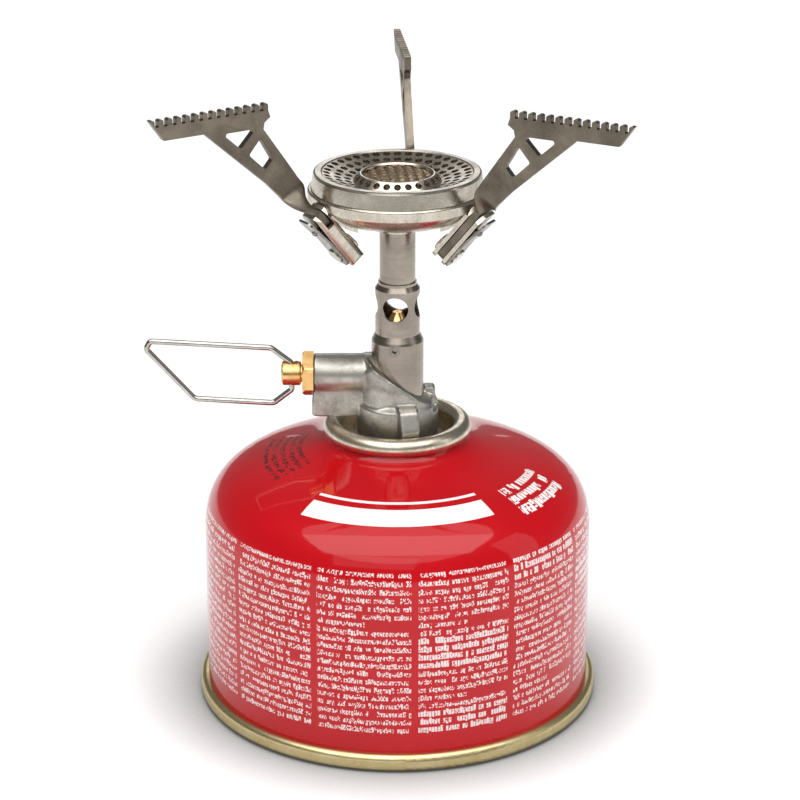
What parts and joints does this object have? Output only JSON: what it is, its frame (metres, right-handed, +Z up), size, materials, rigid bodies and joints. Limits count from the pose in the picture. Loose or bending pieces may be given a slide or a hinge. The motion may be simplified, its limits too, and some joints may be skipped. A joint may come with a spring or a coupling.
{
  "type": "camping stove",
  "caption": "Canister-top gas camping stove with a round flame head, swing-out toothed pot supports and a wire control key, screwed on a small gas canister.",
  "frame": {"origin": "centre of the ring that the canister stands on", "axes": "+Z up through the burner head, -X along the valve arm towards the wire key"},
  "size_m": [0.1039, 0.1024, 0.1392],
  "materials": {
    "red_enamel": "gloss",
    "gold_lacquer": "gloss",
    "tinplate": "satin",
    "rubber": "matte",
    "acetal": "matte",
    "spring_steel": "satin",
    "die_cast_zinc": "satin",
    "brass": "polished",
    "sintered_bronze": "matte",
    "turned_stainless": "brushed",
    "pressed_stainless": "satin",
    "cut_stainless": "matte",
    "heated_mesh": "matte",
    "stainless_wire": "polished"
  },
  "bodies": {
    "canister": {"can_shell": "red_enamel", "can_base": "gold_lacquer", "valve_cup": "tinplate", "cup_gasket": "rubber", "valve_housing": "acetal", "stem_gasket": "rubber", "valve_spring": "spring_steel"},
    "valve_stem": {"valve_stem": "acetal"},
    "seal_ring": {"inlet_seal": "rubber"},
    "stove": {"valve_body": "die_cast_zinc", "grub_screw": "spring_steel", "inlet_pin": "brass", "inlet_filter": "sintered_bronze", "gas_jet": "brass", "packing_nut": "brass", "packing_seal": "rubber", "mixer_tube": "turned_stainless", "burner_tube": "turned_stainless", "burner_bowl": "pressed_stainless", "mixing_screen": "pressed_stainless", "seam_ring": "pressed_stainless", "burner_cap": "pressed_stainless", "flame_mesh": "heated_mesh", "bracket_rear": "pressed_stainless", "bracket_left": "pressed_stainless", "bracket_right": "pressed_stainless", "rivet_rear": "turned_stainless", "rivet_left": "turned_stainless", "rivet_right": "turned_stainless", "detent_spring_rear": "spring_steel", "detent_spring_left": "spring_steel", "detent_spring_right": "spring_steel"},
    "needle": {"needle": "turned_stainless"},
    "spindle": {"spindle": "brass"},
    "key": {"wire_key": "stainless_wire"},
    "support_rear": {"support_rear": "cut_stainless"},
    "support_left": {"support_left": "cut_stainless"},
    "support_right": {"support_right": "cut_stainless"}
  },
  "joints": [
    {"name": "stove_rise", "type": "slide", "parent": "canister", "child": "seal_ring", "axis": [0, 0, 1], "range_m": [0, 0.0055]},
    {"name": "stove_turn", "type": "hinge", "parent": "seal_ring", "child": "stove", "pos_m": [0, 0, 0.066], "axis": [0, 0, 1], "range_deg": [0, 2160]},
    {"name": "needle_travel", "type": "slide", "parent": "stove", "child": "needle", "axis": [-1, 0, 0], "range_m": [0, 0.00102]},
    {"name": "spindle_turn", "type": "hinge", "parent": "stove", "child": "spindle", "pos_m": [-0.0212, 0, 0.075], "axis": [-1, 0, 0], "range_deg": [0, 720]},
    {"name": "key_fold", "type": "hinge", "parent": "spindle", "child": "key", "pos_m": [-0.02335, 0, 0.075], "axis": [0, 0, 1], "range_deg": [-90, 20]},
    {"name": "valve_stem_press", "type": "slide", "parent": "canister", "child": "valve_stem", "axis": [0, 0, -1], "range_m": [0, 0.0005], "stiffness_N_per_m": 2000, "springref_m": -0.001, "deforming": ["valve_spring"]},
    {"name": "support_rear_fold", "type": "hinge", "parent": "stove", "child": "support_rear", "pos_m": [-0.00026, 0.01333, 0.106], "axis": [-0.0673, 0.7698, -0.6347], "range_deg": [0, 150]},
    {"name": "support_left_fold", "type": "hinge", "parent": "stove", "child": "support_left", "pos_m": [-0.01162, -0.00653, 0.106], "axis": [-0.6466, -0.4231, -0.6347], "range_deg": [0, 150]},
    {"name": "support_right_fold", "type": "hinge", "parent": "stove", "child": "support_right", "pos_m": [0.01123, -0.00718, 0.106], "axis": [0.6778, -0.3711, -0.6347], "range_deg": [0, 150]}
  ],
  "couplings": [
    {"joint": "stove_rise", "follows": "stove_turn", "m_per_rad": 0.00014435},
    {"joint": "needle_travel", "follows": "spindle_turn", "m_per_rad": 0.000079577}
  ]
}
